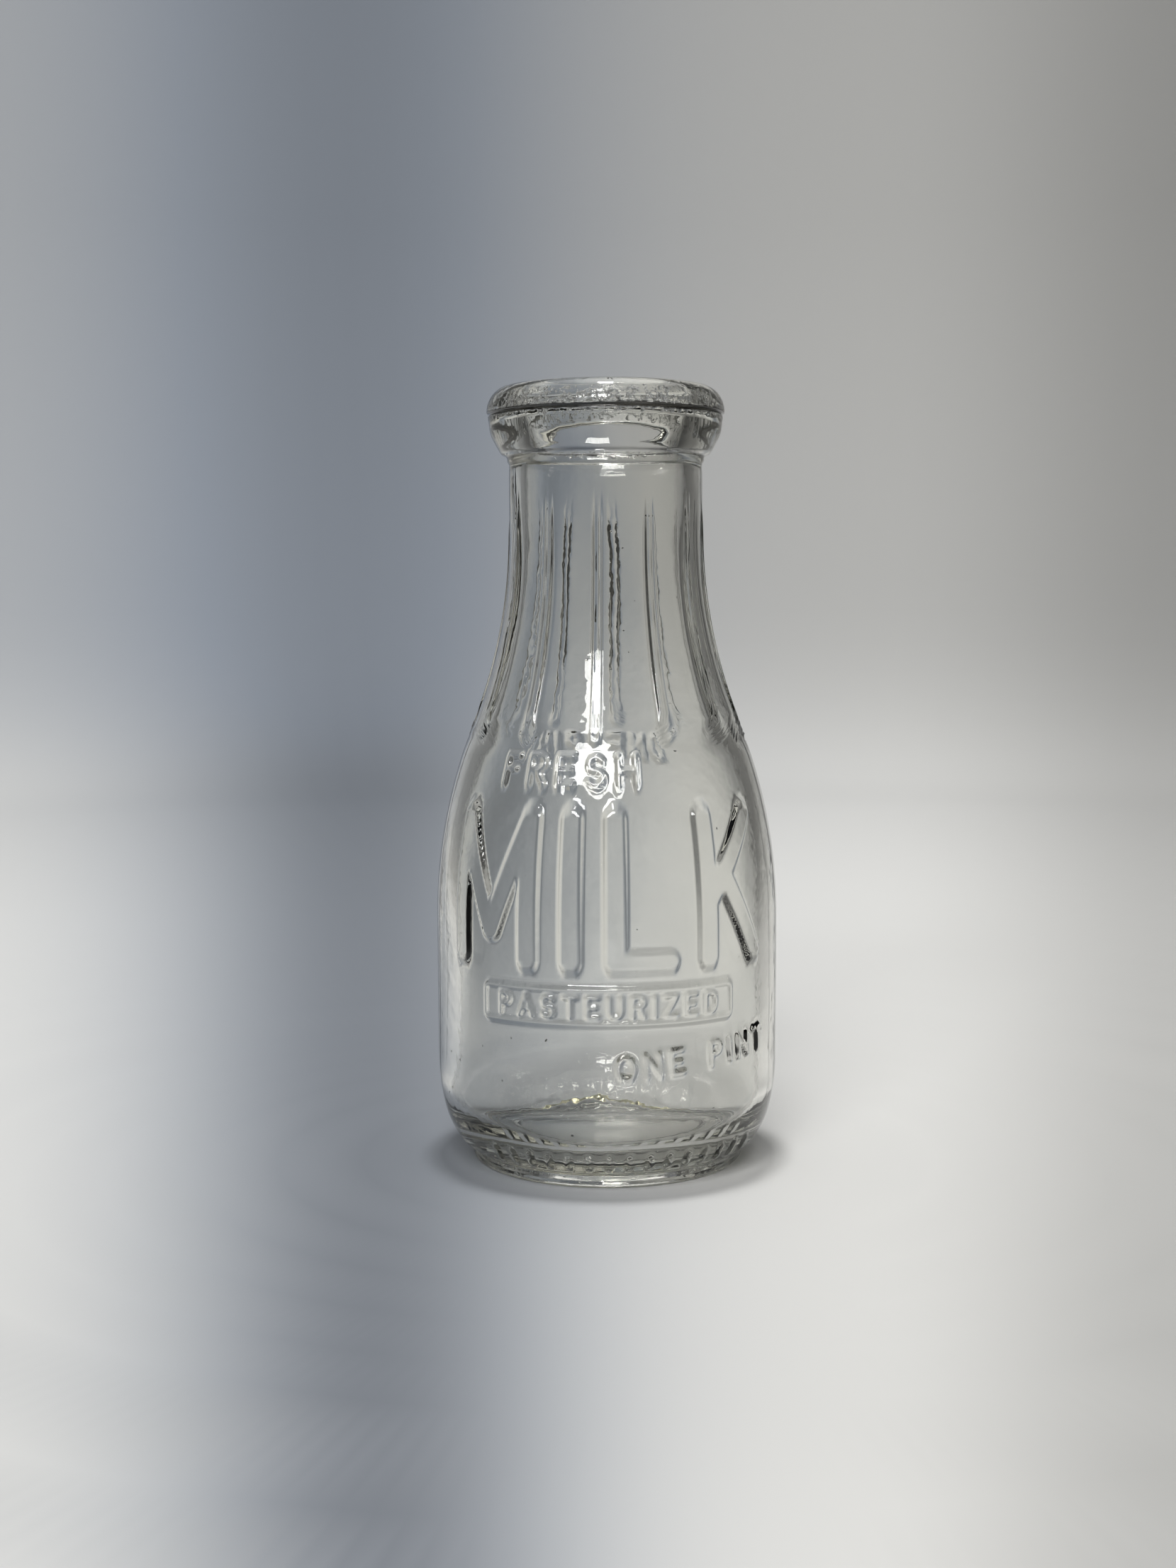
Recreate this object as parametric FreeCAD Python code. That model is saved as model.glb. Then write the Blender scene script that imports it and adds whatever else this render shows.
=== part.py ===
import FreeCAD, Part

import math
import os

# A one-piece milk bottle of pressed and blown glass, standing on its foot.
# +Z is up, the front faces -Y, and the origin is the centre of the foot's resting plane.
# All sizes are millimetres and degrees. Heights marked "drop" are measured down from the top.

# Body, shoulder and neck, measured on the outside
OVERALL_HEIGHT = 185.0
BODY_RADIUS = 41.0
SHOULDER_START = 59.0
NECK_START_DROP = 34.0
WALL = 4.0

# Foot ring, heel and base
FOOT_INSET = 8.2
FOOT_HEIGHT = 4.0
FOOT_EDGE_RADIUS = 1.4
BEARING_WIDTH = 7.4
HEEL_OVERHANG = 1.9
HEEL_HEIGHT = 21.0
HEEL_UPPER_HEIGHT = 12.0
HEEL_UPPER_RADIUS = 50.0
RECESS_DEPTH = 1.6
RECESS_CROWN = 1.2
FLOOR_HEIGHT = 7.0
FLOOR_CROWN = 0.8
INNER_CORNER_RADIUS = 12.0

# Finish: the cap seat sets the throat, the throat sets the neck, and the neck sets the lip
CAP_SEAT_RADIUS = 20.9
CAP_SEAT_DROP = 6.7
CAP_LEDGE_WIDTH = 2.2
THROAT_END_DROP = 14.2
THROAT_FLARE = 2.0
THROAT_LIP = 0.2
LIP_OVERHANG = 5.0
LIP_ROUND = 5.1
LIP_FLANK_RADIUS = 20.3
LIP_UNDERSIDE_DROP = 16.2
LIP_UNDERSIDE_ROUND = 0.9
NECK_RING_PROUD = 0.5
NECK_RING_DROP = 18.0

# Ribs on the neck
RIB_COUNT = 12
RIB_FIRST_ANGLE = -5.0
RIB_WIDTH_ANGLE = 5.5
RIB_HEIGHT = 0.8
RIB_END_DROP = 24.5
RIB_START_ABOVE_SHOULDER = 43.5

# Raised lettering and the plain band on the front
RELIEF_HEIGHT = 0.7
LETTER_HEIGHT = 32.0
LETTER_STROKE = 5.2
LETTER_GAP = 5.0
LETTER_MIDDLE = 70.0
BAND_MIDDLE = 44.0
BAND_HEIGHT = 9.0
BAND_LENGTH = 62.0

# Strokes of each capital as fractions of its width and height, and its width as a share
# of its height
CAPITALS = {
    "M": (0.62, [((0, 0), (0, 1)), ((0, 1), (0.5, 0.2)), ((0.5, 0.2), (1, 1)), ((1, 1), (1, 0))]),
    "I": (0.0, [((0, 0), (0, 1))]),
    "L": (0.38, [((0, 1), (0, 0)), ((0, 0), (1, 0))]),
    "K": (0.46, [((0, 0), (0, 1)), ((0, 0.4), (1, 1)), ((0.3, 0.6), (1, 0))]),
}
FRONT_WORD = "MILK"

FRONT_ANGLE = -90.0
OVERLAP = 1.5

THROAT_RADIUS = CAP_SEAT_RADIUS - CAP_LEDGE_WIDTH
NECK_BORE_RADIUS = THROAT_RADIUS + THROAT_LIP
NECK_RADIUS = NECK_BORE_RADIUS + WALL
NECK_RING_RADIUS = NECK_RADIUS + NECK_RING_PROUD
LIP_RADIUS = NECK_RADIUS + LIP_OVERHANG
LIP_TOP_RADIUS = LIP_RADIUS - LIP_ROUND
FOOT_RADIUS = BODY_RADIUS - FOOT_INSET
HEEL_RADIUS = FOOT_RADIUS + HEEL_OVERHANG
HEEL_TOP = FOOT_HEIGHT + HEEL_HEIGHT
NECK_START = OVERALL_HEIGHT - NECK_START_DROP
NECK_RING_FOOT = OVERALL_HEIGHT - NECK_RING_DROP
RIB_TOP = OVERALL_HEIGHT - RIB_END_DROP


def point(radius, height):
    return FreeCAD.Vector(radius, 0, height)


def line(start, end):
    return Part.LineSegment(point(*start), point(*end)).toShape()


def arc(centre, radius, start_angle, end_angle):
    """Arc in the profile plane; angles in degrees from +radius towards +height."""
    points = []
    for share in (0.0, 0.5, 1.0):
        turn = math.radians(start_angle + share * (end_angle - start_angle))
        points.append(point(centre[0] + radius * math.cos(turn),
                            centre[1] + radius * math.sin(turn)))
    return Part.Arc(*points).toShape()


def crown(edge_radius, edge_height, rise):
    """Shallow dome from the axis out to a circle that lies lower by the rise."""
    middle = point(edge_radius / 2, edge_height + 0.75 * rise)
    return Part.Arc(point(0, edge_height + rise), middle, point(edge_radius, edge_height)).toShape()


def revolve(edges, angle=360.0):
    face = Part.Face(Part.Wire(edges))
    return face.revolve(FreeCAD.Vector(0, 0, 0), FreeCAD.Vector(0, 0, 1), angle)


def shoulder(grow):
    """Two tangent arcs of one radius from the straight body in to the straight neck."""
    rise = NECK_START - SHOULDER_START
    inward = BODY_RADIUS - NECK_RADIUS
    bend = (rise ** 2 + inward ** 2) / (4 * inward)
    turn = math.degrees(math.asin(rise / (2 * bend)))
    lower_centre = (BODY_RADIUS - bend, SHOULDER_START)
    upper_centre = (NECK_RADIUS + bend, NECK_START)
    return [
        arc(lower_centre, bend + grow, 0, turn),
        arc(upper_centre, bend - grow, 180 + turn, 180),
    ]


def heel():
    """Two tangent arcs from the foot ring's shelf up to the straight body."""
    turn = math.asin(HEEL_UPPER_HEIGHT / HEEL_UPPER_RADIUS)
    upper_centre = (BODY_RADIUS - HEEL_UPPER_RADIUS, HEEL_TOP)
    joint = (upper_centre[0] + HEEL_UPPER_RADIUS * math.cos(turn), HEEL_TOP - HEEL_UPPER_HEIGHT)
    inward = joint[0] - HEEL_RADIUS
    down = joint[1] - FOOT_HEIGHT
    bend = (inward ** 2 + down ** 2) / (2 * (inward * math.cos(turn) - down * math.sin(turn)))
    lower_centre = (joint[0] - bend * math.cos(turn), joint[1] + bend * math.sin(turn))
    start = math.atan2(FOOT_HEIGHT - lower_centre[1], HEEL_RADIUS - lower_centre[0])
    return [
        arc(lower_centre, bend, math.degrees(start), -math.degrees(turn)),
        arc(upper_centre, HEEL_UPPER_RADIUS, -math.degrees(turn), 0),
    ]


def foot():
    """Recessed base, flat bearing ring and the upright foot ring with its rounded edge."""
    bearing_outer = FOOT_RADIUS - FOOT_EDGE_RADIUS
    bearing_inner = bearing_outer - BEARING_WIDTH
    recess_radius = bearing_inner - RECESS_DEPTH
    return [
        crown(recess_radius, RECESS_DEPTH, RECESS_CROWN),
        arc((recess_radius, 0), RECESS_DEPTH, 90, 0),
        line((bearing_inner, 0), (bearing_outer, 0)),
        arc((bearing_outer, FOOT_EDGE_RADIUS), FOOT_EDGE_RADIUS, -90, 0),
        line((FOOT_RADIUS, FOOT_EDGE_RADIUS), (FOOT_RADIUS, FOOT_HEIGHT)),
        line((FOOT_RADIUS, FOOT_HEIGHT), (HEEL_RADIUS, FOOT_HEIGHT)),
    ]


def finish():
    """Neck ring, rolled lip and its rounded top, up to the lip's highest circle."""
    underside = OVERALL_HEIGHT - LIP_UNDERSIDE_DROP
    widest = OVERALL_HEIGHT - LIP_ROUND
    flank_centre = (LIP_RADIUS - LIP_FLANK_RADIUS, widest)
    flank_turn = math.asin((widest - underside - LIP_UNDERSIDE_ROUND) / LIP_FLANK_RADIUS)
    flank_foot = flank_centre[0] + LIP_FLANK_RADIUS * math.cos(flank_turn)
    round_centre = (flank_foot - LIP_UNDERSIDE_ROUND, underside + LIP_UNDERSIDE_ROUND)
    return [
        line((NECK_RADIUS, NECK_RING_FOOT), (NECK_RING_RADIUS, NECK_RING_FOOT)),
        line((NECK_RING_RADIUS, NECK_RING_FOOT), (NECK_RING_RADIUS, underside)),
        line((NECK_RING_RADIUS, underside), (round_centre[0], underside)),
        arc(round_centre, LIP_UNDERSIDE_ROUND, -90, 0),
        arc(flank_centre, LIP_FLANK_RADIUS, -math.degrees(flank_turn), 0),
        arc((LIP_TOP_RADIUS, widest), LIP_ROUND, 0, 90),
    ]


def outer_form():
    """The bottle's outside as one filled solid."""
    edges = foot() + heel()
    edges.append(line((BODY_RADIUS, HEEL_TOP), (BODY_RADIUS, SHOULDER_START)))
    edges += shoulder(0)
    edges.append(line((NECK_RADIUS, NECK_START), (NECK_RADIUS, NECK_RING_FOOT)))
    edges += finish()
    edges.append(line((LIP_TOP_RADIUS, OVERALL_HEIGHT), (0, OVERALL_HEIGHT)))
    edges.append(line((0, OVERALL_HEIGHT), (0, RECESS_DEPTH + RECESS_CROWN)))
    return revolve(edges)


def cavity():
    """The space inside: floor, wall, neck bore, throat, cap seat and rounded mouth."""
    inner = BODY_RADIUS - WALL
    corner_radius = inner - INNER_CORNER_RADIUS
    corner_top = FLOOR_HEIGHT + INNER_CORNER_RADIUS
    throat_end = OVERALL_HEIGHT - THROAT_END_DROP
    seat = OVERALL_HEIGHT - CAP_SEAT_DROP
    mouth_round = LIP_TOP_RADIUS - CAP_SEAT_RADIUS
    mouth = OVERALL_HEIGHT - mouth_round
    above = OVERALL_HEIGHT + OVERLAP
    edges = [
        crown(corner_radius, FLOOR_HEIGHT, FLOOR_CROWN),
        arc((corner_radius, corner_top), INNER_CORNER_RADIUS, -90, 0),
        line((inner, corner_top), (inner, SHOULDER_START)),
    ]
    edges += shoulder(-WALL)
    edges += [
        line((NECK_BORE_RADIUS, NECK_START), (NECK_BORE_RADIUS, throat_end - THROAT_FLARE)),
        line((NECK_BORE_RADIUS, throat_end - THROAT_FLARE), (THROAT_RADIUS, throat_end)),
        line((THROAT_RADIUS, throat_end), (THROAT_RADIUS, seat)),
        line((THROAT_RADIUS, seat), (CAP_SEAT_RADIUS, seat)),
        line((CAP_SEAT_RADIUS, seat), (CAP_SEAT_RADIUS, mouth)),
        arc((LIP_TOP_RADIUS, mouth), mouth_round, 180, 90),
        line((LIP_TOP_RADIUS, OVERALL_HEIGHT), (LIP_TOP_RADIUS, above)),
        line((LIP_TOP_RADIUS, above), (0, above)),
        line((0, above), (0, FLOOR_HEIGHT + FLOOR_CROWN)),
    ]
    return revolve(edges)


def grown_form(grow):
    """Body, shoulder and neck alone, larger by the given height all round."""
    body = BODY_RADIUS + grow
    neck = NECK_RADIUS + grow
    edges = [
        line((0, HEEL_TOP), (body, HEEL_TOP)),
        line((body, HEEL_TOP), (body, SHOULDER_START)),
    ]
    edges += shoulder(grow)
    edges += [
        line((neck, NECK_START), (neck, RIB_TOP - grow)),
        line((neck, RIB_TOP - grow), (NECK_RADIUS, RIB_TOP)),
        line((NECK_RADIUS, RIB_TOP), (0, RIB_TOP)),
        line((0, RIB_TOP), (0, HEEL_TOP)),
    ]
    return revolve(edges)


def turned(shape, angle):
    shape.rotate(FreeCAD.Vector(0, 0, 0), FreeCAD.Vector(0, 0, 1), angle)
    return shape


def ribs():
    """Upright ribs, wedges of the grown neck that widen as the shoulder does."""
    bottom = SHOULDER_START + RIB_START_ABOVE_SHOULDER
    inside = NECK_RADIUS - OVERLAP
    edges = [
        line((inside, bottom), (BODY_RADIUS, bottom)),
        line((BODY_RADIUS, bottom), (BODY_RADIUS, RIB_TOP)),
        line((BODY_RADIUS, RIB_TOP), (inside, RIB_TOP)),
        line((inside, RIB_TOP), (inside, bottom)),
    ]
    form = grown_form(RIB_HEIGHT)
    pieces = []
    for number in range(RIB_COUNT):
        middle = FRONT_ANGLE + RIB_FIRST_ANGLE + number * 360.0 / RIB_COUNT
        wedge = revolve(edges, RIB_WIDTH_ANGLE)
        pieces.append(turned(wedge, middle - RIB_WIDTH_ANGLE / 2).common(form))
    return pieces


def stroke(start, end, width):
    """A bar with round ends that crosses the wall, drawn as seen from outside on +X."""
    across = end[0] - start[0]
    up = end[1] - start[1]
    length = math.hypot(across, up)
    depth = BODY_RADIUS
    bar = Part.makeBox(depth, length, width, FreeCAD.Vector(depth / 2, 0, -width / 2))
    for place in (0, length):
        end_round = Part.makeCylinder(width / 2, depth, FreeCAD.Vector(depth / 2, place, 0),
                                      FreeCAD.Vector(1, 0, 0))
        bar = bar.fuse(end_round)
    bar.rotate(FreeCAD.Vector(0, 0, 0), FreeCAD.Vector(1, 0, 0), math.degrees(math.atan2(up, across)))
    bar.translate(FreeCAD.Vector(0, start[0], start[1]))
    return bar


def capital(name, middle_angle, form):
    """One letter, cut out of the grown form about its own direction."""
    share, strokes = CAPITALS[name]
    width = share * LETTER_HEIGHT
    letter = None
    for start, end in strokes:
        ends = [((x - 0.5) * width if share else 0.0,
                 LETTER_MIDDLE + (y - 0.5) * LETTER_HEIGHT) for x, y in (start, end)]
        bar = stroke(ends[0], ends[1], LETTER_STROKE)
        letter = bar if letter is None else letter.fuse(bar)
    return turned(letter, middle_angle).common(form)


def front_word(form):
    """The word's letters side by side round the front, each square to the wall."""
    widths = [CAPITALS[name][0] * LETTER_HEIGHT + LETTER_STROKE for name in FRONT_WORD]
    total = sum(widths) + LETTER_GAP * (len(widths) - 1)
    letters = []
    left = -total / 2
    for name, width in zip(FRONT_WORD, widths):
        middle = math.degrees((left + width / 2) / BODY_RADIUS)
        letters.append(capital(name, FRONT_ANGLE + middle, form))
        left += width + LETTER_GAP
    return letters


def front_band(form):
    """The plain raised band under the word."""
    bottom = BAND_MIDDLE - BAND_HEIGHT / 2
    top = BAND_MIDDLE + BAND_HEIGHT / 2
    inside = BODY_RADIUS - OVERLAP
    outside = BODY_RADIUS + OVERLAP
    angle = math.degrees(BAND_LENGTH / BODY_RADIUS)
    band = revolve([
        line((inside, bottom), (outside, bottom)),
        line((outside, bottom), (outside, top)),
        line((outside, top), (inside, top)),
        line((inside, top), (inside, bottom)),
    ], angle)
    return turned(band, FRONT_ANGLE - angle / 2).common(form)


def bottle():
    form = grown_form(RELIEF_HEIGHT)
    raised = ribs() + front_word(form) + [front_band(form)]
    glass = outer_form().fuse(raised).cut(cavity())
    return glass.removeSplitter()


os.makedirs("parts", exist_ok=True)
bottle_glass = bottle()
bottle_glass.exportStep("parts/bottle_glass.step")
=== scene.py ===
import math

import bpy
import numpy as np
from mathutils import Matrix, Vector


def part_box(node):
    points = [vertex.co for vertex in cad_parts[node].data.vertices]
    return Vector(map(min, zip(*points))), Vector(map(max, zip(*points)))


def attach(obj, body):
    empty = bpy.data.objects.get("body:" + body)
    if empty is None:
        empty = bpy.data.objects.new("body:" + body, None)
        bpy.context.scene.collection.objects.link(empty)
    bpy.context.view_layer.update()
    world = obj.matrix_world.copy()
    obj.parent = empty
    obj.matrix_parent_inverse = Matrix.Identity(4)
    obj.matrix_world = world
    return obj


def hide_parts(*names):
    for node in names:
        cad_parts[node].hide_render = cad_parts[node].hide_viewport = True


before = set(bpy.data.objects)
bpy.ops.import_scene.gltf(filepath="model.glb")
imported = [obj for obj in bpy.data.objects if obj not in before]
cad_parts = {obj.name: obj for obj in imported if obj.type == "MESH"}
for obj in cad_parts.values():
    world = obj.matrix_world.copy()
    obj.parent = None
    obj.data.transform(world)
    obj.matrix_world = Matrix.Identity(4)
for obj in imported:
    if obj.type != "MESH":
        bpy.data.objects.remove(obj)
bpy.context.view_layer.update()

# A clear milk bottle of pressed and blown glass on a pale studio sweep.
# Sizes are millimetres unless a name says otherwise, and MM turns them to metres. Azimuth is
# degrees round the bottle from its front, which faces -Y, positive towards +X.

MM = 0.001
NODE = "bottle_glass"
glass_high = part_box(NODE)[1]

# Form, outside and in. Height and body come from the frame, and the rest repeats the sizes
# that the frame's model has.
OVERALL_HEIGHT = glass_high[2] / MM
BODY_RADIUS = glass_high[0] / MM
WALL = 4.0
SHOULDER_START = 59.0
NECK_START = OVERALL_HEIGHT - 34.0
NECK_RADIUS = 22.9
NECK_BORE_RADIUS = NECK_RADIUS - WALL

FOOT_RADIUS = BODY_RADIUS - 8.2
FOOT_HEIGHT = 4.0
FOOT_EDGE_RADIUS = 1.4
BEARING_INNER_RADIUS = FOOT_RADIUS - FOOT_EDGE_RADIUS - 7.4
RECESS_DEPTH = 1.6
RECESS_CROWN = 1.2
HEEL_RADIUS = FOOT_RADIUS + 1.9
HEEL_TOP = FOOT_HEIGHT + 21.0
HEEL_UPPER_HEIGHT = 12.0
HEEL_UPPER_RADIUS = 50.0
FLOOR_HEIGHT = 7.0
FLOOR_CROWN = 0.8
INNER_CORNER_RADIUS = 12.0

NECK_RING_RADIUS = NECK_RADIUS + 0.5
NECK_RING_FOOT = OVERALL_HEIGHT - 18.0
LIP_UNDERSIDE = OVERALL_HEIGHT - 16.2
LIP_UNDERSIDE_ROUND = 0.9
LIP_RADIUS = NECK_RADIUS + 5.0
LIP_ROUND = 5.1
LIP_WIDEST = OVERALL_HEIGHT - LIP_ROUND
LIP_FLANK_RADIUS = 20.3
CAP_SEAT_RADIUS = 20.9
CAP_SEAT = OVERALL_HEIGHT - 6.7
THROAT_RADIUS = CAP_SEAT_RADIUS - 2.2
THROAT_END = OVERALL_HEIGHT - 14.2
THROAT_FLARE = 2.0
THROAT_DRAFT = -0.3

# Ribs down the neck, and the panels between them, a share of the radius deep
RIB_COUNT = 12
RIB_FIRST_AZIMUTH = -5.0
RIB_WIDTH_ANGLE = 4.6
RIB_HEIGHT = 0.45
RIB_BEVEL = 0.55
RIB_HOLLOW = 0.2
RIB_HOLLOW_BEVEL = 0.8
RIB_BOTTOM = SHOULDER_START + 43.5
RIB_TOP = OVERALL_HEIGHT - 24.5
RIB_FADE = 12.0
PANEL_DEPTH = 0.017
PANEL_BOTTOM = RIB_BOTTOM - 5.0
PANEL_RISE = 16.0
PANEL_TOP = RIB_TOP - 2.0
PANEL_FADE = 26.0

# The two ribs at the back whose edges are scarred, and where
SCARRED_RIBS = (6, 7)
SCAR_WIDTH = 0.4
SCAR_BOTTOM = 112.0
SCAR_TOP = RIB_TOP - 3.0

# Raised words and band: the relief stands this high with edges this wide
RELIEF_HEIGHT = 0.85
RELIEF_BEVEL = 0.85
SMALL_RELIEF_HEIGHT = 0.65
SMALL_RELIEF_BEVEL = 0.6
BAND_MIDDLE = 44.0
BAND_HEIGHT = 9.0
BAND_LENGTH = 62.0
BAND_CORNER_RADIUS = 2.0
BAND_BEVEL = 0.7
BAND_RIM = 0.9
BAND_SINK = 0.35
BAND_SINK_BEVEL = 0.6

# Words as text, letter height, stroke, gap, height of the middle, and any other place for it
LARGE_WORD = ("MILK", 32.0, 5.2, 5.0, 70.0)
SMALL_WORDS = (
    ("PASTEURIZED", 4.6, 0.95, 1.5, BAND_MIDDLE, {}),
    ("FRESH", 6.2, 1.3, 2.1, 96.5, {"at": -15.0, "radius": 34.5}),
    ("ONE PINT", 5.2, 1.15, 1.7, 31.5, {"at": 31.0, "rise": 5.0}),
    ("ONE PINT", 5.2, 1.0, 2.2, 97.0, {"at": 187.0, "radius": 34.5}),
)

# Upright bars round the heel, with the spans of azimuth that have them
HEEL_BARS_FROM = 5.4
HEEL_BARS_TO = 9.6
HEEL_BAR_PITCH = 7.2
HEEL_BAR_HALF_WIDTH = 0.75
HEEL_BAR_HEIGHT = 0.5
HEEL_BAR_BEVEL = 0.6
HEEL_BAR_SPANS = ((-46.0, 60.0), (140.0, 222.0))

# The body mould's seams at the sides
SEAM_AZIMUTH = 90.0
SEAM_HEIGHT = 0.14
SEAM_WIDTH = 0.42

# The parting line round the lip, and the wrinkles on both sides of it
PARTING_HEIGHT = OVERALL_HEIGHT - 6.5
PARTING_STEP = 0.34
PARTING_GROOVE = 0.42
WRINKLE = 0.09
WRINKLE_CELLS = (150, 1.5)

# The lip's flank stands straighter than its arc by this swelling
LIP_SWELL = 0.32
LIP_SWELL_HEIGHT = OVERALL_HEIGHT - 11.0
LIP_SWELL_REACH = 2.3

# Rings and stipple under the foot, and fine steps round its side
BASE_RING_PITCH = 2.5
BASE_RING_DEPTH = 0.16
STIPPLE_DEPTH = 0.03
STIPPLE_CELLS = (140, 1.0)
FOOT_STEP_PITCH = 1.25
FOOT_STEP_DEPTH = 0.16

# How uneven blowing left the glass: size, and how many waves add up to it. The cells of a
# random lattice are so many in one turn and so many in one unit up.
OUTSIDE_WAVES = (0.035, 9)
INSIDE_WAVES = (0.17, 8)
THROAT_LUMPS = 0.12
THROAT_CELLS = (19, 0.22)

# How finely the outline is walked, and how far its corners have melted
FINE_STEP = 0.05
MELT = 0.45

# How far apart the mesh's rows stand: outside up to each height, then in single places
OUTSIDE_STEPS = (
    (12, 0.8), (27, 1.8), (36.5, 0.62), (39, 1.2), (49, 0.55), (53.5, 1.2), (86.5, 0.62),
    (92.5, 1.3), (101.5, 0.58), (106, 0.9), (RIB_TOP - 14, 2.8), (LIP_UNDERSIDE - 4, 1.3),
    (PARTING_HEIGHT - 1.5, 0.8), (PARTING_HEIGHT + 0.8, 0.2), (OVERALL_HEIGHT, 0.9),
)
RECESS_STEP = 2.6
FOOT_STEP = 0.4
THROAT_STEP = 0.65
BORE_STEP = 3.2
FLOOR_STEP = 1.6

# How far apart its columns stand, in degrees: on the body, then on the neck
FRONT_HALF_ANGLE = 59.5
FRONT_STEP = 0.54
SIDE_STEP = 1.1
SEAM_STEP = 0.4
RIB_MIDDLE_STEP = 0.5
RIB_EDGE_STEP = 0.17
PANEL_STEP = 1.0
COLUMNS = 336
NECK_COLUMNS_FROM = 100.0
NECK_COLUMNS_BLEND = 8.0
INNER_EVERY = 4

LATTICE_ROWS = 257
random = np.random.default_rng(1926)


# ---------------------------------------------------------------- outline

def arc(centre, radius, start, end):
    """Points on a circle in the plane of radius and height, degrees from outwards to up."""
    turn = np.radians(np.linspace(start, end, 60))
    return np.column_stack((centre[0] + radius * np.cos(turn), centre[1] + radius * np.sin(turn)))


def crown(edge_radius, edge_height, rise):
    """A parabola from the axis down to a circle: height falls with the radius squared."""
    across = np.linspace(0.0, 1.0, 40)
    return np.column_stack((across * edge_radius, edge_height + rise * (1 - across ** 2)))


def shoulder(grow):
    """Two tangent arcs of one radius from the straight body in to the straight neck."""
    rise = NECK_START - SHOULDER_START
    inward = BODY_RADIUS - NECK_RADIUS
    bend = (rise ** 2 + inward ** 2) / (4 * inward)
    turn = math.degrees(math.asin(rise / (2 * bend)))
    return np.vstack((
        arc((BODY_RADIUS - bend, SHOULDER_START), bend + grow, 0, turn),
        arc((NECK_RADIUS + bend, NECK_START), bend - grow, 180 + turn, 180),
    ))


def heel():
    """Two tangent arcs from the foot ring's shelf up to the straight body."""
    turn = math.asin(HEEL_UPPER_HEIGHT / HEEL_UPPER_RADIUS)
    upper = (BODY_RADIUS - HEEL_UPPER_RADIUS, HEEL_TOP)
    joint = (upper[0] + HEEL_UPPER_RADIUS * math.cos(turn), HEEL_TOP - HEEL_UPPER_HEIGHT)
    inward = joint[0] - HEEL_RADIUS
    down = joint[1] - FOOT_HEIGHT
    bend = (inward ** 2 + down ** 2) / (2 * (inward * math.cos(turn) - down * math.sin(turn)))
    lower = (joint[0] - bend * math.cos(turn), joint[1] + bend * math.sin(turn))
    start = math.atan2(FOOT_HEIGHT - lower[1], HEEL_RADIUS - lower[0])
    return np.vstack((
        arc(lower, bend, math.degrees(start), -math.degrees(turn)),
        arc(upper, HEEL_UPPER_RADIUS, -math.degrees(turn), 0),
    ))


def outside_outline():
    """From the middle of the base, out under the foot and up the outside to the lip's top."""
    bearing_outer = FOOT_RADIUS - FOOT_EDGE_RADIUS
    recess = BEARING_INNER_RADIUS - RECESS_DEPTH
    flank_turn = math.asin((LIP_WIDEST - LIP_UNDERSIDE - LIP_UNDERSIDE_ROUND) / LIP_FLANK_RADIUS)
    flank_middle = LIP_RADIUS - LIP_FLANK_RADIUS
    flank_foot = flank_middle + LIP_FLANK_RADIUS * math.cos(flank_turn)
    round_centre = (flank_foot - LIP_UNDERSIDE_ROUND, LIP_UNDERSIDE + LIP_UNDERSIDE_ROUND)
    return np.vstack((
        crown(recess, RECESS_DEPTH, RECESS_CROWN),
        arc((recess, 0), RECESS_DEPTH, 90, 0),
        arc((bearing_outer, FOOT_EDGE_RADIUS), FOOT_EDGE_RADIUS, -90, 0),
        [(FOOT_RADIUS, FOOT_HEIGHT)],
        heel(),
        shoulder(0),
        [(NECK_RADIUS, NECK_RING_FOOT), (NECK_RING_RADIUS, NECK_RING_FOOT)],
        [(NECK_RING_RADIUS, LIP_UNDERSIDE)],
        arc(round_centre, LIP_UNDERSIDE_ROUND, -90, 0),
        arc((flank_middle, LIP_WIDEST), LIP_FLANK_RADIUS, -math.degrees(flank_turn), 0),
        arc((LIP_RADIUS - LIP_ROUND, LIP_WIDEST), LIP_ROUND, 0, 90),
    ))


def inside_outline():
    """From the lip's top down through cap seat, throat, bore and wall to the floor's middle."""
    lip_top = LIP_RADIUS - LIP_ROUND
    mouth_round = lip_top - CAP_SEAT_RADIUS
    inner = BODY_RADIUS - WALL
    corner = inner - INNER_CORNER_RADIUS
    return np.vstack((
        arc((lip_top, OVERALL_HEIGHT - mouth_round), mouth_round, 90, 180),
        [(CAP_SEAT_RADIUS, CAP_SEAT), (THROAT_RADIUS - THROAT_DRAFT, CAP_SEAT)],
        [(THROAT_RADIUS, THROAT_END), (NECK_BORE_RADIUS, THROAT_END - THROAT_FLARE)],
        shoulder(-WALL)[::-1],
        arc((corner, FLOOR_HEIGHT + INNER_CORNER_RADIUS), INNER_CORNER_RADIUS, 0, -90),
        crown(corner, FLOOR_HEIGHT, FLOOR_CROWN)[::-1],
    ))


def path_length(points):
    """Distance walked along a path at each of its points."""
    return np.concatenate(([0.0], np.cumsum(np.hypot(*np.diff(points, axis=0).T))))


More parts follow.
